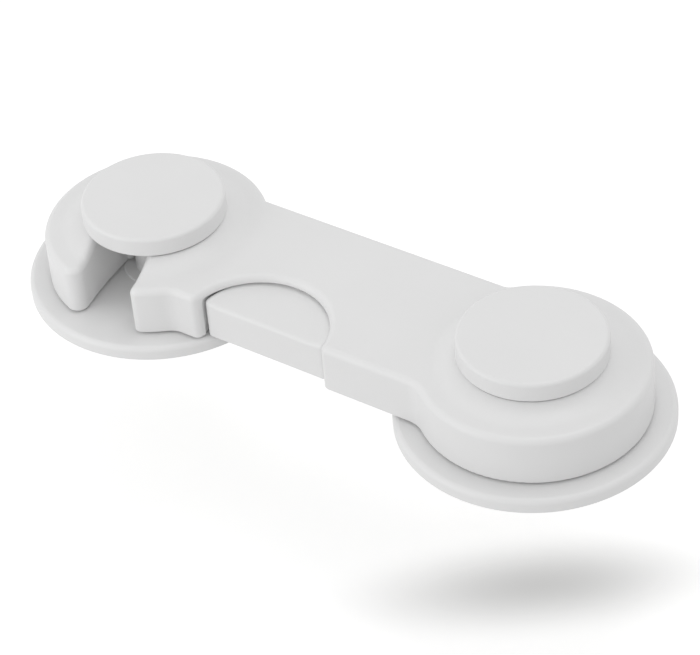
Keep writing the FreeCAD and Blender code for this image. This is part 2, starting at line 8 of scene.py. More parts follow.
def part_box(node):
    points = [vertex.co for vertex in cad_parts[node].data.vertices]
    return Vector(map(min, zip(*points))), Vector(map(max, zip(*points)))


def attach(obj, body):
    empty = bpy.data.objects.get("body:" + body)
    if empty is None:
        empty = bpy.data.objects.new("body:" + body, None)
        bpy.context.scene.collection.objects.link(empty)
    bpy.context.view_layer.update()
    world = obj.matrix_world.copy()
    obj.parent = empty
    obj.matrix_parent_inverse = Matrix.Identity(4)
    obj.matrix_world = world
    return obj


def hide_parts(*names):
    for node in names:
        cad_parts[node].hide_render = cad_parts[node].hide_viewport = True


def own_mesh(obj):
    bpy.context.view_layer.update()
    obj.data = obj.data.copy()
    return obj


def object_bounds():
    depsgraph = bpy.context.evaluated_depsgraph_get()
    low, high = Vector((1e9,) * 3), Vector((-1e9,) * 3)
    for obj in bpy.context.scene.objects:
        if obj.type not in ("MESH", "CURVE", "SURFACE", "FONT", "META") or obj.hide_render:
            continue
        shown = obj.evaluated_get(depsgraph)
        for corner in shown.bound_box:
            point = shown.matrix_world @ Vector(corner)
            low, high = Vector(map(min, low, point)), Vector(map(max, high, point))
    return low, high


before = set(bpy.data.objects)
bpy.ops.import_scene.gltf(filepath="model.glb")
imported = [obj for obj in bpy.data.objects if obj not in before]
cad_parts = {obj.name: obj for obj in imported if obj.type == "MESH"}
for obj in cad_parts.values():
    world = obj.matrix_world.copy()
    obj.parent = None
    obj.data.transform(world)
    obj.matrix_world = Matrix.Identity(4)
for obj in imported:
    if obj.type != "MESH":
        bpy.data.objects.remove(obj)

bl_info = {
    "name": "Cabinet Lock Dressing",
    "version": (1, 0, 0),
    "blender": (4, 5, 0),
    "location": "3D View > Sidebar > Cabinet Lock",
    "description": "Finishes a child safety cabinet lock: mouldings, pads, screws, spring, stage",
    "category": "Object",
}

CAD_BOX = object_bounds()
MM = 0.001
WELD = 1e-6                     # metres, for joining loose triangles

# The viewpoint fitted to the photo.
VIEW_AZIMUTH = math.radians(36.87)
VIEW_ELEVATION = math.radians(40.158)
VIEW_ROLL = math.radians(-5.174)
VIEW_TARGET = (-39.301, -3.474, 8.8)    # millimetres
VIEW_DISTANCE = 549.238                 # millimetres
SENSOR_WIDTH = 36.0
LENS = 145.76
CLIP_START, CLIP_END = 0.01, 20.0

# Soft boxes: name, place from the lock's middle and size in metres, and the power's setting.
SOFT_BOXES = (
    ("overhead_soft_box", (0.05, 0.10, 0.42), 0.20, "key_power"),
    ("front_soft_box", (-0.29, -0.48, 0.16), 0.45, "fill_power"),
)
SHADOW_CORE = (1.1, -2.2)       # darkest point of the shadow, cast and painted, under the hinge, in millimetres
FLOOR_HALF = 1.5                # half the paper's width, in metres

# Between these lies nearly all that a noise texture gives.
NOISE_LOW, NOISE_HIGH = 0.3, 0.7

# Sections of the turned pieces, in millimetres.
CREASE = 0.05                   # rounding where the post meets the ring, and the spigot the cap
POST_R = 5.3
SOCKET_R = 3.4                  # bore in the post that takes the cap's spigot
SCREW_HOLE_R = 1.65
DRIVER_BORE_R = 2.9             # way in from below for the screw's head and the driver
WEB_T = 2.0                     # web between the two bores, which the screw's head bears on
WEB_DEPTH = 8.3                 # the web's lower face under the post's end
BASE_T = 2.9
BASE_EDGE = 1.2                 # rounding of the base's upper edge
PAD_SEAT = 0.4                  # depth of the pad's seat in the base
PAD_RIM = 1.4                   # width of the rim round that seat
RING_R = 7.7                    # bearing ring round the post, which carries the arm
RING_TOP = 3.25                 # the ring's top over the base's foot
CAP_T = 4.0
CAP_WALL = 2.0                  # thickness of the cap's roof and of its rim
CAP_EDGE = 0.75                 # rounding of the cap's upper edge
SPIGOT_R = 3.3
PILOT_R = 1.5                   # hole in the spigot that the screw cuts its thread into
PILOT_WALL, PILOT_END = 5.0, 5.4        # height of the hole's wall and of its pointed end
CAP_RIB_T = 1.2
CAP_RIB_H = 2.2
CAP_RIB_MIDDLE = 0.9            # the ribs' middle under the roof
CAP_RIB_FROM = 5.0              # radius at which the ribs start, inside the cap's seat
CAP_RIB_END = 1.9               # end of the ribs inside the cap's edge
FILM_DENT, FOAM_DENT = 0.08, 0.12       # how far the foam is pressed in near the films and half-way
DENT_FROM = 2.2                 # film thicknesses from the face to the first of these

# Screws: node, body, height of the head and radius over the thread in millimetres.
SCREWS = (
    ("cover_screws", "arm", 1.3, 0.95),
    ("hinge_cap_screw", "hinge_mount", 1.8, 1.45),
    ("striker_cap_screw", "striker_mount", 1.8, 1.45),
)
THREAD_GAP = 0.2                # head to thread
THREAD_SHORT = 0.35             # how much shorter the thread is than the shank
TIP_R = 0.06
FACES_PER_TURN = 28.0
CLOSE_PITCH = 2.05              # pitch of the spring's closed end turns, in wire radii


def box_sizes(node):
    """Centre, size and lowest corner of a CAD node."""
    low, high = (Vector(corner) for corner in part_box(node))
    return (low + high) / 2, high - low, low


def linear(hex_colour):
    """An sRGB colour written as hex, as linear red, green, blue and alpha."""
    parts = [int(hex_colour[i:i + 2], 16) / 255 for i in (1, 3, 5)]
    return [p / 12.92 if p <= 0.04045 else ((p + 0.055) / 1.055) ** 2.4 for p in parts] + [1.0]


def feed(tree, node, inputs):
    """Sets or links a node's inputs. A node given as a value stands for its first output."""
    for name, value in inputs.items():
        if isinstance(value, bpy.types.Node):
            value = value.outputs[0]
        if isinstance(value, bpy.types.NodeSocket):
            tree.links.new(value, node.inputs[name])
        else:
            node.inputs[name].default_value = value


def add(tree, kind, settings=None, inputs=None):
    """Adds a node, sets its properties, and sets or links its inputs."""
    node = tree.nodes.new(kind)
    for name, value in (settings or {}).items():
        setattr(node, name, value)
    feed(tree, node, inputs or {})
    return node


def colour_property(name, description, hex_colour):
    return bpy.props.FloatVectorProperty(
        name=name, description=description, subtype="COLOR", size=4, min=0, max=1,
        default=linear(hex_colour))


def length_property(name, description, mm):
    return bpy.props.FloatProperty(
        name=name, description=description, unit="LENGTH", subtype="DISTANCE", min=0, precision=5,
        default=mm * MM)


class LockPlasticSettings(bpy.types.PropertyGroup):
    body: colour_property(
        "Body colour", "Colour of the moulded bases, caps, arm and button", "#E4E4E4")
    bolt: colour_property("Bolt colour", "Colour of the latch bolt", "#DDDDD6")
    roughness: bpy.props.FloatProperty(
        name="Roughness", description="Roughness of the satin mouldings", subtype="FACTOR",
        min=0, max=1, default=0.42)
    grain: length_property("Grain", "Spacing of the mould's fine spark-eroded texture", 0.35)
    edge: length_property(
        "Edge radius", "Rounding of the corners that the mould leaves on turned pieces", 0.18)


class LockPadSettings(bpy.types.PropertyGroup):
    foam: colour_property("Foam colour", "Colour of the foam's cut edge", "#E2E1DC")
    film: colour_property(
        "Film colour", "Colour of the adhesive film on the pad's faces", "#E9E8E2")
    film_thickness: length_property("Film thickness", "Thickness of the adhesive film", 0.12)
    pore: length_property("Pore size", "Width of the foam's closed cells", 0.35)


class LockHardwareSettings(bpy.types.PropertyGroup):
    zinc: colour_property("Zinc colour", "Colour of the plated screws", "#B4B8BD")
    wire: colour_property("Wire colour", "Colour of the spring's drawn wire", "#A3A5A8")
    wire_radius: length_property("Wire radius", "Radius of the spring's wire", 0.3)
    turns: bpy.props.FloatProperty(
        name="Spring turns", description="Turns of the spring, the closed end turns included",
        min=3, default=7.5)
    thread_depth: length_property(
        "Thread depth", "Height of the screws' thread over their core", 0.32)
    segments: bpy.props.IntProperty(
        name="Segments", description="Faces round a turned piece", min=24, max=512, default=192)


class LockStageSettings(bpy.types.PropertyGroup):
    floor: colour_property("Floor colour", "Colour of the plain floor", "#E6E6E6")
    drop: length_property("Floor drop", "How far under the pads the floor lies", 43.0)
    sky: bpy.props.FloatProperty(
        name="Surround", description="Strength of the even light from all round",
        min=0, default=0.77)
    key_power: bpy.props.FloatProperty(
        name="Overhead power", description="Power of the overhead soft box", unit="POWER",
        min=0, default=0.235)
    fill_power: bpy.props.FloatProperty(
        name="Front power", description="Power of the soft box beside the camera", unit="POWER",
        min=0, default=0.76)
    # Lift, clear, reach and depth paint the shadow's oval: the paper is lifted to white away from
    # its core.
    lift: bpy.props.FloatProperty(
        name="Floor lift",
        description="How much whiter than it is lit the camera sees the shadow's core",
        min=0, default=0.0)
    clear: bpy.props.FloatProperty(
        name="Clear lift",
        description="The same away from the shadow's core, where the floor looks plain white",
        min=0, default=0.39)
    reach: length_property(
        "Shadow reach", "How far across the photo the shadow fades into the white floor", 48.0)
    depth: length_property("Shadow depth", "The same along the photo's line of sight", 16.0)


def material(name, colour, roughness, ior=None, metallic=0.0):
    """A new material with a Principled shader, its tree, that shader and Object coordinates."""
    made = bpy.data.materials.new(name)
    made.use_nodes = True
    tree = made.node_tree
    tree.nodes.clear()
    shader = add(tree, "ShaderNodeBsdfPrincipled", None,
                 {"Base Color": colour, "Roughness": roughness, "Metallic": metallic})
    if ior:
        feed(tree, shader, {"IOR": ior})
    add(tree, "ShaderNodeOutputMaterial", None, {"Surface": shader})
    return made, tree, shader, add(tree, "ShaderNodeTexCoord").outputs["Object"]


def varied(tree, place, spacing, low, high, detail=2.0):
    """A value that wanders between low and high over the given spacing in metres."""
    noise = add(tree, "ShaderNodeTexNoise", None,
                {"Vector": place, "Scale": 1 / spacing, "Detail": detail})
    return add(tree, "ShaderNodeMapRange", None,
               {"Value": noise.outputs["Fac"], "From Min": NOISE_LOW, "From Max": NOISE_HIGH,
                "To Min": low, "To Max": high})


def shaded(tree, place, spacing, colour, share):
    """The colour with a slow, slight change of brightness."""
    return add(tree, "ShaderNodeVectorMath", {"operation": "SCALE"},
               {"Vector": colour[:3], "Scale": varied(tree, place, spacing, 1 - share, 1 + share)})


def relief(tree, place, spacing, depth, strength=1.0, detail=2.0, before=None):
    """Uneven ground, depth metres deep, that wanders over the given spacing in metres."""
    bump = add(tree, "ShaderNodeBump", None,
               {"Height": varied(tree, place, spacing, 0, 1, detail), "Distance": depth,
                "Strength": strength})
    if before:
        feed(tree, bump, {"Normal": before})
    return bump


def moulded_abs(settings):
    """Injection-moulded ABS off a finely eroded mould: satin, with soft, wide highlights."""
    made, tree, shader, place = material(
        "Moulded ABS satin white", settings.body, settings.roughness, ior=1.53)
    # The flow of the plastic leaves a very slight waviness under the mould's grain. A real
    # eroded grain of 0.1 to 0.2 mm is too fine for the render, so it is drawn a little coarser.
    wave = relief(tree, place, 12 * MM, 0.012 * MM)
    feed(tree, shader, {
        "Base Color": shaded(tree, place, 18 * MM, settings.body, 0.008),
        "Roughness": varied(tree, place, 4 * MM, settings.roughness - 0.03,
                            settings.roughness + 0.03),
        "Normal": relief(tree, place, settings.grain, 0.006 * MM, strength=0.6, detail=3.0,
                         before=wave)})
    return made


def moulded_acetal(settings):
    """Moulded acetal, for small sliding parts: a little yellower and glossier than the ABS."""
    made, tree, shader, place = material("Moulded acetal", settings.bolt, roughness=0.34, ior=1.48)
    feed(tree, shader, {
        "Base Color": shaded(tree, place, 6 * MM, settings.bolt, 0.012),
        "Roughness": varied(tree, place, 2 * MM, 0.30, 0.38),
        "Normal": relief(tree, place, settings.grain, 0.004 * MM, strength=0.5)})
    return made


def closed_cell_foam(settings):
    """Closed-cell polyethylene foam, sheet cut: dull, its cut cells fine pits with painted shade.
    """
    made, tree, shader, place = material(
        "Closed cell PE foam", settings.foam, roughness=0.85, ior=1.51)
    cells = add(tree, "ShaderNodeTexVoronoi", None, {"Vector": place, "Scale": 1 / settings.pore})
    pit = add(tree, "ShaderNodeMapRange", None,
              {"Value": cells.outputs["Distance"], "From Min": 0.1, "From Max": 0.6})
    # Painted shade: the colour darkens towards each pit's middle, where the hollow's shade falls.
    painted_pit_shade = add(tree, "ShaderNodeMapRange", None, {"Value": pit, "To Min": 0.86, "To Max": 1.0})
    feed(tree, shader, {
        "Base Color": add(tree, "ShaderNodeVectorMath", {"operation": "SCALE"},
                          {"Vector": settings.foam[:3], "Scale": painted_pit_shade}),
        "Roughness": varied(tree, place, 1.5 * MM, 0.80, 0.92),
        "Normal": add(tree, "ShaderNodeBump", None,
                      {"Height": pit, "Distance": 0.08 * MM, "Strength": 0.7})})
    return made


def acrylic_film(settings):
    """Acrylic adhesive film: a smooth tacky sheen that follows the foam's slight unevenness."""
    made, tree, shader, place = material(
        "Acrylic adhesive film", settings.film, roughness=0.32, ior=1.47)
    feed(tree, shader, {
        "Base Color": shaded(tree, place, 9 * MM, settings.film, 0.015),
        "Roughness": varied(tree, place, 3 * MM, 0.26, 0.42),
        "Normal": relief(tree, place, 2.5 * MM, 0.02 * MM, strength=0.8)})
    return made


def zinc_plate(settings):
    """Zinc-plated steel as it leaves the barrel: bluish silver with small dull patches."""
    made, tree, shader, place = material(
        "Zinc plated steel", settings.zinc, roughness=0.34, metallic=1.0)
    feed(tree, shader, {
        "Base Color": shaded(tree, place, 1.2 * MM, settings.zinc, 0.05),
        "Roughness": varied(tree, place, 0.7 * MM, 0.28, 0.46),
        "Normal": relief(tree, place, 0.2 * MM, 0.003 * MM, strength=0.6)})
    return made


def drawn_wire(settings):
    """Hard-drawn steel wire: smooth and grey, slightly uneven from the die."""
    made, tree, shader, place = material(
        "Drawn spring wire", settings.wire, roughness=0.3, metallic=1.0)
    feed(tree, shader, {
        "Base Color": shaded(tree, place, 0.8 * MM, settings.wire, 0.04),
        "Roughness": varied(tree, place, 0.25 * MM, 0.26, 0.38)})
    return made


def looked_at(tree):
    """1 where the camera looks, itself or through glass or a reflection, and 0 for other light."""
    ray = add(tree, "ShaderNodeLightPath").outputs
    direct = add(tree, "ShaderNodeMath", {"operation": "MAXIMUM"},
                 {0: ray["Is Camera Ray"], 1: ray["Is Transmission Ray"]})
    return add(tree, "ShaderNodeMath", {"operation": "MAXIMUM"},
               {0: direct, 1: ray["Is Glossy Ray"]})


def paper_with_painted_shadow(settings, core):
    """Backdrop paper with a painted shadow: seen lighter with distance from the core, up to white.
    """
    made, tree, shader, place = material("Seamless paper", settings.floor, roughness=0.9, ior=1.45)
    feed(tree, shader, {"Base Color": shaded(tree, place, 400 * MM, settings.floor, 0.004)})
    # Painted shadow: for the camera the paper glows more with distance from the core, in an oval.
    painted_shadow_oval = add(tree, "ShaderNodeMapping", {"vector_type": "TEXTURE"},
               {"Vector": place, "Location": core, "Rotation": (0, 0, VIEW_AZIMUTH),
                "Scale": (settings.reach, settings.depth, 1)})
    away = add(tree, "ShaderNodeVectorMath", {"operation": "LENGTH"}, {0: painted_shadow_oval})
    white = add(tree, "ShaderNodeMapRange", {"interpolation_type": "SMOOTHSTEP"},
                {"Value": away.outputs["Value"], "To Min": settings.lift,
                 "To Max": settings.clear})
    # The glow lifts the paper towards white, so the shadow's oval is painted as well as cast.
    lift = add(tree, "ShaderNodeMath", {"operation": "MULTIPLY"}, {0: looked_at(tree), 1: white})
    painted_shadow_glow = add(tree, "ShaderNodeEmission", None, {"Color": (1, 1, 1, 1), "Strength": lift})
    both = add(tree, "ShaderNodeAddShader", None, {0: shader, 1: painted_shadow_glow})
    feed(tree, next(n for n in tree.nodes if n.type == "OUTPUT_MATERIAL"), {"Surface": both})
    return made


def material_for(key, maker, settings):
    """The material of that key, made once."""
    name = bpy.context.scene.get("lock_" + key)
    if name is None:
        name = maker(settings).name
        bpy.context.scene["lock_" + key] = name
    return bpy.data.materials[name]


def white_abs():
    return material_for("abs", moulded_abs, bpy.context.scene.lock_plastic)


def link(mesh, name):
    """A new object at the origin that holds the mesh."""
    piece = bpy.data.objects.new(name, mesh)
    bpy.context.scene.collection.objects.link(piece)
    return piece


def evaluated(piece, name):
    """The piece's mesh with its modifiers worked in, as a new mesh. The piece is removed."""
    bpy.context.view_layer.update()
    graph = bpy.context.evaluated_depsgraph_get()
    mesh = bpy.data.meshes.new_from_object(piece.evaluated_get(graph), depsgraph=graph)
    mesh.name = name
    old = piece.data
    bpy.data.objects.remove(piece)
    bpy.data.meshes.remove(old)
    return mesh


def smoothed(mesh, name, sharp=32.0):
    """The mesh with normals that follow its larger faces, and edges past the angle kept sharp."""
    for face in mesh.polygons:
        face.use_smooth = True
    mesh.set_sharp_from_angle(angle=math.radians(sharp))
    piece = link(mesh, name)
    weigh = piece.modifiers.new("Normals", "WEIGHTED_NORMAL")
    weigh.mode, weigh.weight, weigh.keep_sharp = "FACE_AREA", 50, True
    return evaluated(piece, name)


def welded(mesh):
    """The mesh's shape with its doubles joined and no faces without a size."""
    shape = bmesh.new()
    shape.from_mesh(mesh)
    bmesh.ops.remove_doubles(shape, verts=shape.verts, dist=WELD)
    bmesh.ops.dissolve_degenerate(shape, edges=shape.edges, dist=WELD / 10)
    return shape


def outward(mesh):
    """Joins the mesh's doubles and turns its faces outwards."""
    shape = welded(mesh)
    bmesh.ops.recalc_face_normals(shape, faces=shape.faces)
    shape.to_mesh(mesh)
    shape.free()
    return mesh


def joined_copy(node, name):
    """A copy of a CAD node's mesh with its loose triangles joined and smooth normals."""
    shape = welded(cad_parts[node].data)
    mesh = bpy.data.meshes.new(name)
    mesh.from_pydata([v.co[:] for v in shape.verts], [],
                     [[v.index for v in f.verts] for f in shape.faces])
    shape.free()
    mesh.update()
    return smoothed(mesh, name)


def islands(node):
    """Lowest and highest corner of each separate solid in a CAD node."""
    shape = welded(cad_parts[node].data)
    left, found = set(shape.verts), []
    while left:
        work, low, high = [left.pop()], Vector((1e9,) * 3), Vector((-1e9,) * 3)
        while work:
            vertex = work.pop()
            low = Vector(map(min, low, vertex.co))
            high = Vector(map(max, high, vertex.co))
            for edge in vertex.link_edges:
                other = edge.other_vert(vertex)
                if other in left:
                    left.remove(other)
                    work.append(other)
        found.append((low, high))
    shape.free()
    return sorted(found, key=lambda corners: tuple(corners[0]))


def finish_piece(mesh, name, surfaces, body, node):
    """Puts a finished mesh in the scene in place of a CAD node, riding on its body."""
    mesh.materials.clear()
    for surface in surfaces:
        mesh.materials.append(surface)
    piece = link(mesh, name)
    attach(piece, body)
    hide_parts(node)
    return piece


def new_tree(name, sockets):
    """A Geometry Nodes tree with these named inputs, and its input and output nodes."""
    tree = bpy.data.node_groups.new(name, "GeometryNodeTree")
    for label, kind, value in sockets:
        socket = tree.interface.new_socket(label, in_out="INPUT", socket_type=kind)
        if value is not None:
            socket.default_value = value
    tree.interface.new_socket("Geometry", in_out="OUTPUT", socket_type="NodeSocketGeometry")
    return tree, add(tree, "NodeGroupInput"), add(tree, "NodeGroupOutput")


def painted(tree, geometry, said, end):
    """Makes instances real, gives all the tree's material and sends it out."""
    real = add(tree, "GeometryNodeRealizeInstances", None, {"Geometry": geometry})
    feed(tree, end, {0: add(tree, "GeometryNodeSetMaterial", None,
                            {"Geometry": real, "Material": said["Material"]})})
    return tree


def set_input(modifier, label, value):
    """Sets one of a modifier's named inputs by its socket's identifier."""
    for item in modifier.node_group.interface.items_tree:
        if item.item_type == "SOCKET" and item.in_out == "INPUT" and item.name == label:
            modifier[item.identifier] = value
            return
    raise RuntimeError("no input named " + label)


def grown(mesh, name, tree, inputs):
    """Runs a Geometry Nodes tree on a mesh and returns the result as a plain mesh."""
    piece = link(mesh, name)
    nodes = piece.modifiers.new("Nodes", "NODES")
    nodes.node_group = tree
    for label, value in inputs.items():
        set_input(nodes, label, value)
    return evaluated(piece, name)


def chain(points, name):
    """A mesh of joined vertices, in metres, from points in millimetres in the XZ plane."""
    mesh = bpy.data.meshes.new(name)
    mesh.from_pydata([(x * MM, 0, z * MM) for x, z in points],
                     [(i, i + 1) for i in range(len(points) - 1)], [])
    return mesh


def eased(corners, radius, steps=5):
    """A section with rounded corners. A corner is (r, z) or (r, z, its own radius), in mm."""
    points = []
    for i, corner in enumerate(corners):
        here = Vector(corner[:2])
        own = corner[2] if len(corner) > 2 else radius
        if i in (0, len(corners) - 1) or own == 0:
            points.append(tuple(here))
            continue
        back, on = Vector(corners[i - 1][:2]) - here, Vector(corners[i + 1][:2]) - here
        half = back.angle(on) / 2
        # A rounding takes up less than half of each side, so that two never meet.
        reach = min(own / math.tan(half), back.length * 0.49, on.length * 0.49)
        r = reach * math.tan(half)
        a, b = here + back.normalized() * reach, here + on.normalized() * reach
        middle = here + (back.normalized() + on.normalized()).normalized() * (r / math.sin(half))
        start, turn = a - middle, (a - middle).angle_signed(b - middle)
        for k in range(steps + 1):
            t = -turn * k / steps
            points.append((middle.x + start.x * math.cos(t) - start.y * math.sin(t),
                           middle.y + start.x * math.sin(t) + start.y * math.cos(t)))
    return points


def turning_tree():
    """Turns a section, a line of vertices in the XZ plane, about Z and puts it in its place."""
    tree, start, end = new_tree("Turned from a section", [
        ("Section", "NodeSocketGeometry", None), ("Segments", "NodeSocketInt", 192),
        ("Place", "NodeSocketVector", None), ("Material", "NodeSocketMaterial", None)])
    said = start.outputs
    points = add(tree, "GeometryNodeAttributeDomainSize", {"component": "MESH"},
                 {"Geometry": said["Section"]})
    row = add(tree, "FunctionNodeIntegerMath", {"operation": "ADD"}, {0: said["Segments"], 1: 1})
    grid = add(tree, "GeometryNodeMeshGrid", None,
               {"Vertices X": points.outputs["Point Count"], "Vertices Y": row})
    index = add(tree, "GeometryNodeInputIndex")
    along = add(tree, "FunctionNodeIntegerMath", {"operation": "DIVIDE_FLOOR"}, {0: index, 1: row})
    round_ = add(tree, "FunctionNodeIntegerMath", {"operation": "MODULO"}, {0: index, 1: row})
    share = add(tree, "ShaderNodeMath", {"operation": "DIVIDE"}, {0: round_, 1: said["Segments"]})
    angle = add(tree, "ShaderNodeMath", {"operation": "MULTIPLY"}, {0: share, 1: 2 * math.pi})
    sample = add(tree, "GeometryNodeSampleIndex", {"data_type": "FLOAT_VECTOR"},
                 {"Geometry": said["Section"], "Value": add(tree, "GeometryNodeInputPosition"),
                  "Index": along})
    turned_point = add(tree, "ShaderNodeVectorRotate", {"rotation_type": "Z_AXIS"},
                       {"Vector": sample, "Angle": angle})
    placed = add(tree, "ShaderNodeVectorMath", {"operation": "ADD"},
                 {0: turned_point, 1: said["Place"]})
    skin = add(tree, "GeometryNodeSetPosition", None, {"Geometry": grid, "Position": placed})
    closed = add(tree, "GeometryNodeMergeByDistance", None, {"Geometry": skin, "Distance": WELD})
    return painted(tree, closed, said, end)


def winding_tree():
    """Winds a section with a few sides along a helix about Z, with close turns at both ends."""
    tree, start, end = new_tree("Wound along a helix", [
        ("Geometry", "NodeSocketGeometry", None), ("Radius", "NodeSocketFloat", 0.002),
        ("End Radius", "NodeSocketFloat", 0.002), ("Taper From", "NodeSocketFloat", 1.0),
        ("Length", "NodeSocketFloat", 0.01), ("Turns", "NodeSocketFloat", 7.0),
        ("Close Turns", "NodeSocketFloat", 1.0), ("Close Pitch", "NodeSocketFloat", 0.0006),
        ("Section Radius", "NodeSocketFloat", 0.0003), ("Section Sides", "NodeSocketInt", 12),
        ("Steps", "NodeSocketInt", 256), ("Material", "NodeSocketMaterial", None)])
    said = start.outputs
    line = add(tree, "GeometryNodeMeshLine", None, {"Count": said["Steps"]})
    last_step = add(tree, "ShaderNodeMath", {"operation": "SUBTRACT"}, {0: said["Steps"], 1: 1.0})
    share = add(tree, "ShaderNodeMath", {"operation": "DIVIDE"},
                {0: add(tree, "GeometryNodeInputIndex"), 1: last_step})
    turn = add(tree, "ShaderNodeMath", {"operation": "MULTIPLY"}, {0: share, 1: said["Turns"]})
    angle = add(tree, "ShaderNodeMath", {"operation": "MULTIPLY"}, {0: turn, 1: 2 * math.pi})
    close = add(tree, "ShaderNodeMath", {"operation": "MULTIPLY"},
                {0: said["Close Turns"], 1: said["Close Pitch"]})
    both = add(tree, "ShaderNodeMath", {"operation": "MULTIPLY"}, {0: close, 1: 2.0})
    open_rise = add(tree, "ShaderNodeMath", {"operation": "SUBTRACT"},
                    {0: said["Length"], 1: both})
    last = add(tree, "ShaderNodeMath", {"operation": "SUBTRACT"},
               {0: said["Turns"], 1: said["Close Turns"]})
    rise = 0.0
    for first, until, height in ((0.0, said["Close Turns"], close),
                                 (said["Close Turns"], last, open_rise),
                                 (last, said["Turns"], close)):
        ramp = add(tree, "ShaderNodeMapRange", None,
                   {"Value": turn, "From Min": first, "From Max": until,
                    "To Min": 0.0, "To Max": height})
        rise = add(tree, "ShaderNodeMath", {"operation": "ADD"}, {0: rise, 1: ramp})
    radius = add(tree, "ShaderNodeMapRange", None,
                 {"Value": rise, "From Min": said["Taper From"], "From Max": said["Length"],
                  "To Min": said["Radius"], "To Max": said["End Radius"]})
    point = add(tree, "ShaderNodeCombineXYZ", None, {"Z": rise})
    for axis, wave in (("X", "COSINE"), ("Y", "SINE")):
        swing = add(tree, "ShaderNodeMath", {"operation": wave}, {0: angle})
        feed(tree, point, {axis: add(tree, "ShaderNodeMath", {"operation": "MULTIPLY"},
                                     {0: radius, 1: swing})})
    path = add(tree, "GeometryNodeSetPosition", None, {"Geometry": line, "Position": point})
    curve = add(tree, "GeometryNodeMeshToCurve", None, {"Mesh": path})
    level = add(tree, "GeometryNodeSetCurveNormal", {"mode": "Z_UP"}, {"Curve": curve})
    ring = add(tree, "GeometryNodeCurvePrimitiveCircle", {"mode": "RADIUS"},
               {"Resolution": said["Section Sides"], "Radius": said["Section Radius"]})
    skin = add(tree, "GeometryNodeCurveToMesh", None,
               {"Curve": level, "Profile Curve": ring, "Fill Caps": True})
    return painted(tree, skin, said, end)


def screw_tree(turning, winding):
    """Screws at the vertices of Places: a turned body, a cross recess and a wound thread."""
    tree, start, end = new_tree("Cross recess screws", [
        ("Section", "NodeSocketGeometry", None), ("Places", "NodeSocketObject", None),
        ("Core Radius", "NodeSocketFloat", 0.0007), ("Thread Depth", "NodeSocketFloat", 0.0003),
        ("Thread Start", "NodeSocketFloat", 0.0), ("Thread Length", "NodeSocketFloat", 0.005),
        ("Pitch", "NodeSocketFloat", 0.0008), ("Tip Length", "NodeSocketFloat", 0.001),
        ("Recess Width", "NodeSocketFloat", 0.0006), ("Recess Reach", "NodeSocketFloat", 0.0026),
        ("Recess Depth", "NodeSocketFloat", 0.0013), ("Segments", "NodeSocketInt", 48),
        ("Material", "NodeSocketMaterial", None)])
    said = start.outputs
    body = add(tree, "GeometryNodeGroup", {"node_tree": turning},
               {"Section": said["Section"], "Segments": said["Segments"],
                "Material": said["Material"]})
    cross = add(tree, "GeometryNodeMeshBoolean", {"operation": "UNION", "solver": "EXACT"})
    for wide, deep in (("Recess Width", "Recess Reach"), ("Recess Reach", "Recess Width")):
        size = add(tree, "ShaderNodeCombineXYZ", None,
                   {"X": said[wide], "Y": said[deep], "Z": said["Recess Depth"]})
        feed(tree, cross, {"Mesh 2": add(tree, "GeometryNodeMeshCube", None, {"Size": size})})
    cut = add(tree, "GeometryNodeMeshBoolean", {"operation": "DIFFERENCE", "solver": "EXACT"},
              {"Mesh 1": body, "Mesh 2": cross})
    turns = add(tree, "ShaderNodeMath", {"operation": "DIVIDE"},
                {0: said["Thread Length"], 1: said["Pitch"]})
    steps = add(tree, "ShaderNodeMath", {"operation": "MULTIPLY"}, {0: turns, 1: FACES_PER_TURN})
    tip = add(tree, "ShaderNodeMath", {"operation": "MULTIPLY"}, {0: said["Core Radius"], 1: 0.3})
    taper = add(tree, "ShaderNodeMath", {"operation": "SUBTRACT"},
                {0: said["Thread Length"], 1: said["Tip Length"]})
    thread = add(tree, "GeometryNodeGroup", {"node_tree": winding},
                 {"Radius": said["Core Radius"], "End Radius": tip, "Taper From": taper,
                  "Length": said["Thread Length"], "Turns": turns, "Close Turns": 0.0,
                  "Close Pitch": 0.0, "Section Radius": said["Thread Depth"], "Section Sides": 4,
                  "Steps": steps, "Material": said["Material"]})
    lift = add(tree, "ShaderNodeCombineXYZ", None, {"Z": said["Thread Start"]})
    raised = add(tree, "GeometryNodeTransform", None, {"Geometry": thread, "Translation": lift})
    screw = add(tree, "GeometryNodeJoinGeometry")
    for half in (cut, raised):
        feed(tree, screw, {0: half})
    places = add(tree, "GeometryNodeObjectInfo", None, {"Object": said["Places"]})
    spread = add(tree, "GeometryNodeInstanceOnPoints", None,
                 {"Points": places.outputs["Geometry"], "Instance": screw})
    return painted(tree, spread, said, end)


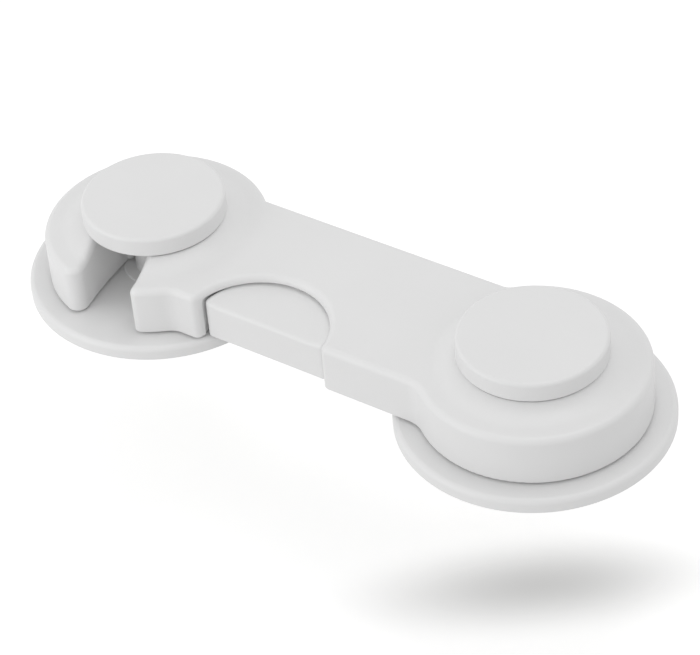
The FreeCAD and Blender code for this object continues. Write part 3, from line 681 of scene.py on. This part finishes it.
def rib_ring_tree():
    """Upright ribs set in a ring like spokes, between two radii."""
    tree, start, end = new_tree("Ring of ribs", [
        ("Geometry", "NodeSocketGeometry", None), ("Count", "NodeSocketInt", 6),
        ("Inner Radius", "NodeSocketFloat", 0.005), ("Outer Radius", "NodeSocketFloat", 0.013),
        ("Thickness", "NodeSocketFloat", 0.0012), ("Height", "NodeSocketFloat", 0.002),
        ("Place", "NodeSocketVector", None), ("Material", "NodeSocketMaterial", None)])
    said = start.outputs
    twice = add(tree, "ShaderNodeMath", {"operation": "ADD"},
                {0: said["Inner Radius"], 1: said["Outer Radius"]})
    middle = add(tree, "ShaderNodeMath", {"operation": "MULTIPLY"}, {0: twice, 1: 0.5})
    long = add(tree, "ShaderNodeMath", {"operation": "SUBTRACT"},
               {0: said["Outer Radius"], 1: said["Inner Radius"]})
    size = add(tree, "ShaderNodeCombineXYZ", None,
               {"X": long, "Y": said["Thickness"], "Z": said["Height"]})
    rib = add(tree, "GeometryNodeMeshCube", None, {"Size": size})
    ring = add(tree, "GeometryNodeMeshCircle", None,
               {"Vertices": said["Count"], "Radius": middle})
    share = add(tree, "ShaderNodeMath", {"operation": "DIVIDE"},
                {0: add(tree, "GeometryNodeInputIndex"), 1: said["Count"]})
    turn = add(tree, "ShaderNodeMath", {"operation": "MULTIPLY"}, {0: share, 1: 2 * math.pi})
    aim = add(tree, "ShaderNodeCombineXYZ", None, {"Z": turn})
    spread = add(tree, "GeometryNodeInstanceOnPoints", None,
                 {"Points": ring, "Instance": rib, "Rotation": aim})
    placed = add(tree, "GeometryNodeTransform", None,
                 {"Geometry": spread, "Translation": said["Place"]})
    return painted(tree, placed, said, end)


def tree_named(name, maker, *inputs):
    return bpy.data.node_groups.get(name) or maker(*inputs)


def turned(corners, name, place, surface, edge, segments):
    """A mesh turned from a section's corners in mm, at a place in metres."""
    section = chain(eased(corners, edge / MM), name)
    mesh = grown(section, name, tree_named("Turned from a section", turning_tree),
                 {"Segments": segments, "Place": place[:], "Material": surface})
    return smoothed(outward(mesh), name)


class LOCK_OT_mouldings(bpy.types.Operator):
    """Finish the arm's shell and cover and the push button in satin ABS, and the bolt in acetal"""
    bl_idname = "lock.mouldings"
    bl_label = "Arm, cover, button and bolt"

    def execute(self, context):
        acetal = material_for("acetal", moulded_acetal, context.scene.lock_plastic)
        for node, body, surface in (("arm_shell", "arm", white_abs()),
                                    ("arm_cover", "arm", white_abs()),
                                    ("push_button", "button", white_abs()),
                                    ("latch_bolt", "bolt", acetal)):
            name = node + "_moulding"
            finish_piece(joined_copy(node, name), name, [surface], body, node)
        return {"FINISHED"}


class LOCK_OT_bases(bpy.types.Operator):
    """Turn both adhesive bases with their hollow posts, with the mould's small edge roundings"""
    bl_idname = "lock.bases"
    bl_label = "Adhesive bases"

    def execute(self, context):
        edge = context.scene.lock_plastic.edge
        segments = context.scene.lock_hardware.segments
        for side in ("hinge", "striker"):
            centre, size, low = box_sizes(side + "_base")
            r, foot, top = size.x / 2 / MM, low.z / MM, (low.z + size.z) / MM
            disc, ring, web = foot + BASE_T, foot + RING_TOP, top - WEB_DEPTH
            corners = [
                (SCREW_HOLE_R, web + WEB_T), (SCREW_HOLE_R, web), (DRIVER_BORE_R, web),
                (DRIVER_BORE_R, foot + PAD_SEAT), (r - PAD_RIM, foot + PAD_SEAT),
                (r - PAD_RIM, foot), (r, foot), (r, disc, BASE_EDGE), (RING_R, disc),
                (RING_R, ring), (POST_R, ring, CREASE), (POST_R, top), (SOCKET_R, top),
                (SOCKET_R, web + WEB_T), (SCREW_HOLE_R, web + WEB_T)]
            name = side + "_base_moulding"
            mesh = turned(corners, name, (centre.x, centre.y, 0), white_abs(), edge, segments)
            finish_piece(mesh, name, [white_abs()], side + "_mount", side + "_base")
        return {"FINISHED"}


class LOCK_OT_caps(bpy.types.Operator):
    """Turn both disc caps, cored out below, and set the ring of ribs in each"""
    bl_idname = "lock.caps"
    bl_label = "Disc caps"

    def execute(self, context):
        edge = context.scene.lock_plastic.edge
        segments = context.scene.lock_hardware.segments
        ribs = tree_named("Ring of ribs", rib_ring_tree)
        for side in ("hinge", "striker"):
            centre, size, low = box_sizes(side + "_cap")
            r, spigot, top = size.x / 2 / MM, low.z / MM, (low.z + size.z) / MM
            under, roof = top - CAP_T, top - CAP_WALL
            corners = [
                (0, top), (r, top, CAP_EDGE), (r, under), (r - CAP_WALL, under),
                (r - CAP_WALL, roof), (POST_R, roof), (POST_R, under),
                (SPIGOT_R, under, CREASE), (SPIGOT_R, spigot), (PILOT_R, spigot),
                (PILOT_R, spigot + PILOT_WALL), (0, spigot + PILOT_END)]
            name = side + "_cap_moulding"
            mesh = turned(corners, name, (centre.x, centre.y, 0), white_abs(), edge, segments)
            ring = grown(bpy.data.meshes.new(name + "_ribs"), name + "_ribs", ribs, {
                "Inner Radius": CAP_RIB_FROM * MM, "Outer Radius": (r - CAP_RIB_END) * MM,
                "Thickness": CAP_RIB_T * MM, "Height": CAP_RIB_H * MM,
                "Place": (centre.x, centre.y, (roof - CAP_RIB_MIDDLE) * MM),
                "Material": white_abs()})
            whole = bmesh.new()
            whole.from_mesh(mesh)
            whole.from_mesh(ring)
            whole.to_mesh(mesh)
            whole.free()
            finish_piece(mesh, name, [white_abs()], side + "_mount", side + "_cap")
        return {"FINISHED"}


class LOCK_OT_pads(bpy.types.Operator):
    """Make the adhesive pads: a foam core with adhesive film on both faces"""
    bl_idname = "lock.pads"
    bl_label = "Adhesive pads"

    def execute(self, context):
        pad = context.scene.lock_pad
        foam = material_for("foam", closed_cell_foam, pad)
        film = material_for("film", acrylic_film, pad)
        t, segments = pad.film_thickness / MM, context.scene.lock_hardware.segments
        for side in ("hinge", "striker"):
            centre, size, low = box_sizes(side + "_pad")
            r, foot, top = size.x / 2 / MM, low.z / MM, (low.z + size.z) / MM
            # The knife presses the foam in a little between the stiffer films.
            corners = [(0, foot), (r, foot), (r, foot + t), (r - FILM_DENT, foot + DENT_FROM * t),
                       (r - FOAM_DENT, (foot + top) / 2), (r - FILM_DENT, top - DENT_FROM * t),
                       (r, top - t), (r, top), (0, top)]
            name = side + "_pad_foam"
            mesh = turned(corners, name, (centre.x, centre.y, 0), foam, 0.0, segments)
            mesh.materials.clear()
            for face in mesh.polygons:
                # A face at the films' inner edge still counts as foam.
                height = face.center.z / MM
                face.material_index = 0 if foot + t * 0.99 < height < top - t * 0.99 else 1
            finish_piece(mesh, name, [foam, film], side + "_mount", side + "_pad")
        return {"FINISHED"}


class LOCK_OT_screws(bpy.types.Operator):
    """Make the zinc-plated screws of the cover and both caps, with threads and cross recesses"""
    bl_idname = "lock.screws"
    bl_label = "Screws"

    def execute(self, context):
        hardware = context.scene.lock_hardware
        zinc = material_for("zinc", zinc_plate, hardware)
        tree = tree_named("Cross recess screws", screw_tree,
                          tree_named("Turned from a section", turning_tree),
                          tree_named("Wound along a helix", winding_tree))
        deep = hardware.thread_depth / MM
        for node, body, head_h, crest in SCREWS:
            spots = islands(node)
            low, high = spots[0]
            head_r, long = (high.x - low.x) / 2 / MM, (high.z - low.z) / MM
            core = crest - deep
            # From the middle of the domed head over its rim and the shank to the point.
            corners = [
                (0, 0), (head_r * 0.55, 0, 0.3), (head_r, head_h * 0.3, 0.35),
                (head_r, head_h, 0.08), (core, head_h, 0.05), (core, long - crest, 0.1),
                (TIP_R, long, 0.05), (0, long)]
            places = bpy.data.meshes.new(node + "_places")
            places.from_pydata(
                [((a.x + b.x) / 2, (a.y + b.y) / 2, a.z) for a, b in spots], [], [])
            holder = link(places, node + "_places")
            name = node + "_steel"
            mesh = grown(chain(eased(corners, 0), name), name, tree, {
                "Places": holder, "Core Radius": core * MM, "Thread Depth": deep * MM,
                "Thread Start": (head_h + THREAD_GAP) * MM,
                "Thread Length": (long - head_h - THREAD_SHORT) * MM,
                "Pitch": 0.9 * crest * MM, "Tip Length": crest * MM,
                "Recess Width": crest * 0.5 * MM, "Recess Reach": head_r * 1.15 * MM,
                "Recess Depth": head_h * 1.1 * MM, "Material": zinc})
            bpy.data.objects.remove(holder)
            finish_piece(smoothed(mesh, name), name, [zinc], body, node)
        return {"FINISHED"}


class LOCK_OT_spring(bpy.types.Operator):
    """Wind the button's return spring with closed end turns"""
    bl_idname = "lock.spring"
    bl_label = "Button spring"

    def execute(self, context):
        hardware = context.scene.lock_hardware
        wire = material_for("wire", drawn_wire, hardware)
        centre, size, low = box_sizes("button_spring")
        r, name = hardware.wire_radius, "button_spring_coil"
        mesh = grown(
            bpy.data.meshes.new(name), name, tree_named("Wound along a helix", winding_tree),
            {"Radius": size.x / 2 - r, "End Radius": size.x / 2 - r, "Length": size.y - 2 * r,
             "Turns": hardware.turns, "Close Pitch": CLOSE_PITCH * r, "Section Radius": r,
             "Material": wire})
        # The helix is wound about Z; the spring lies along Y.
        mesh.transform(Matrix.Translation((centre.x, low.y + r, centre.z))
                       @ Matrix.Rotation(-math.pi / 2, 4, "X"))
        coil = smoothed(mesh, name, sharp=60.0)
        coil = finish_piece(coil, name, [wire], "arm", "button_spring")
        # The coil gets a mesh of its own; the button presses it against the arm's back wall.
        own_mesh(coil)
        return {"FINISHED"}


def lamp(name, place, aim, size, power):
    """A square soft box at a place, aimed at a point."""
    light = bpy.data.lights.new(name, "AREA")
    light.shape, light.size, light.energy = "SQUARE", size, power
    holder = bpy.data.objects.new(name, light)
    holder.location = place
    holder.rotation_mode = "QUATERNION"
    holder.rotation_quaternion = (aim - place).to_track_quat("-Z", "Y")
    bpy.context.scene.collection.objects.link(holder)


class LOCK_OT_stage(bpy.types.Operator):
    """Set the paper floor, the white surround, the soft boxes and the camera of the photo"""
    bl_idname = "lock.stage"
    bl_label = "Stage, lights and camera"

    def execute(self, context):
        stage, scene = context.scene.lock_stage, context.scene
        scene.view_settings.view_transform = "Standard"
        self.floor(stage)
        self.camera(scene)
        self.surround(stage, scene)
        middle = (Vector(CAD_BOX[0]) + Vector(CAD_BOX[1])) / 2
        for name, offset, size, power in SOFT_BOXES:
            lamp(name, middle + Vector(offset), middle, size, getattr(stage, power))
        return {"FINISHED"}

    def floor(self, stage):
        """The lock floats over the paper; its shadow, cast and partly painted, is darkest under the
        hinge.
        """
        core = Vector((SHADOW_CORE[0] * MM, SHADOW_CORE[1] * MM, -stage.drop))
        corners = ((-1, -1), (1, -1), (1, 1), (-1, 1))
        paper = bpy.data.meshes.new("paper_floor")
        paper.from_pydata([(x * FLOOR_HALF, y * FLOOR_HALF, core.z) for x, y in corners],
                          [], [(0, 1, 2, 3)])
        paper.materials.append(
            material_for("paper", lambda settings: paper_with_painted_shadow(settings, core), stage))
        link(paper, "paper_floor")

    def camera(self, scene):
        """The viewpoint fitted to the photo: direction, roll, distance and focal length."""
        azimuth, elevation, roll = VIEW_AZIMUTH, VIEW_ELEVATION, VIEW_ROLL
        back = Vector((math.sin(azimuth) * math.cos(elevation),
                       -math.cos(azimuth) * math.cos(elevation), math.sin(elevation)))
        right = (-back).cross(Vector((0, 0, 1))).normalized()
        up = right.cross(-back)
        side = right * math.cos(roll) + up * math.sin(roll)
        top = up * math.cos(roll) - right * math.sin(roll)
        data = bpy.data.cameras.new("photo_camera")
        data.sensor_fit, data.sensor_width, data.lens = "HORIZONTAL", SENSOR_WIDTH, LENS
        data.clip_start, data.clip_end = CLIP_START, CLIP_END
        camera = bpy.data.objects.new("photo_camera", data)
        place = Vector(VIEW_TARGET) * MM + back * VIEW_DISTANCE * MM
        camera.matrix_world = Matrix((
            (side.x, top.x, back.x, place.x), (side.y, top.y, back.y, place.y),
            (side.z, top.z, back.z, place.z), (0, 0, 0, 1)))
        scene.collection.objects.link(camera)
        scene.camera = camera

    def surround(self, stage, scene):
        """Even light from all round, which the camera sees as plain white."""
        world = bpy.data.worlds.new("Plain surround")
        world.use_nodes = True
        tree = world.node_tree
        tree.nodes.clear()
        power = add(tree, "ShaderNodeMapRange", None,
                    {"Value": looked_at(tree), "To Min": stage.sky, "To Max": 1.0})
        sky = add(tree, "ShaderNodeBackground", None,
                  {"Color": (1, 1, 1, 1), "Strength": power})
        add(tree, "ShaderNodeOutputWorld", None, {"Surface": sky})
        scene.world = world


OPERATORS = (LOCK_OT_mouldings, LOCK_OT_bases, LOCK_OT_caps, LOCK_OT_pads, LOCK_OT_screws,
             LOCK_OT_spring, LOCK_OT_stage)
SETTINGS = (("lock_plastic", LockPlasticSettings), ("lock_pad", LockPadSettings),
            ("lock_hardware", LockHardwareSettings), ("lock_stage", LockStageSettings))


class LOCK_PT_dressing(bpy.types.Panel):
    """Lists the lock's pieces and their sizes and colours"""
    bl_idname = "LOCK_PT_dressing"
    bl_label = "Cabinet Lock"
    bl_space_type = "VIEW_3D"
    bl_region_type = "UI"
    bl_category = "Cabinet Lock"

    def draw(self, context):
        for operator in OPERATORS:
            self.layout.operator(operator.bl_idname)
        for name, group in SETTINGS:
            box = self.layout.box()
            for key in group.__annotations__:
                box.prop(getattr(context.scene, name), key)


def register():
    for name, group in SETTINGS:
        bpy.utils.register_class(group)
        setattr(bpy.types.Scene, name, bpy.props.PointerProperty(type=group))
    for kind in OPERATORS + (LOCK_PT_dressing,):
        bpy.utils.register_class(kind)


def unregister():
    for kind in (LOCK_PT_dressing,) + OPERATORS[::-1]:
        bpy.utils.unregister_class(kind)
    for name, group in SETTINGS[::-1]:
        delattr(bpy.types.Scene, name)
        bpy.utils.unregister_class(group)


def main():
    register()
    bpy.ops.lock.stage()
    bpy.ops.lock.mouldings()
    bpy.ops.lock.bases()
    bpy.ops.lock.caps()
    bpy.ops.lock.pads()
    bpy.ops.lock.screws()
    bpy.ops.lock.spring()


if __name__ == "__main__":
    main()
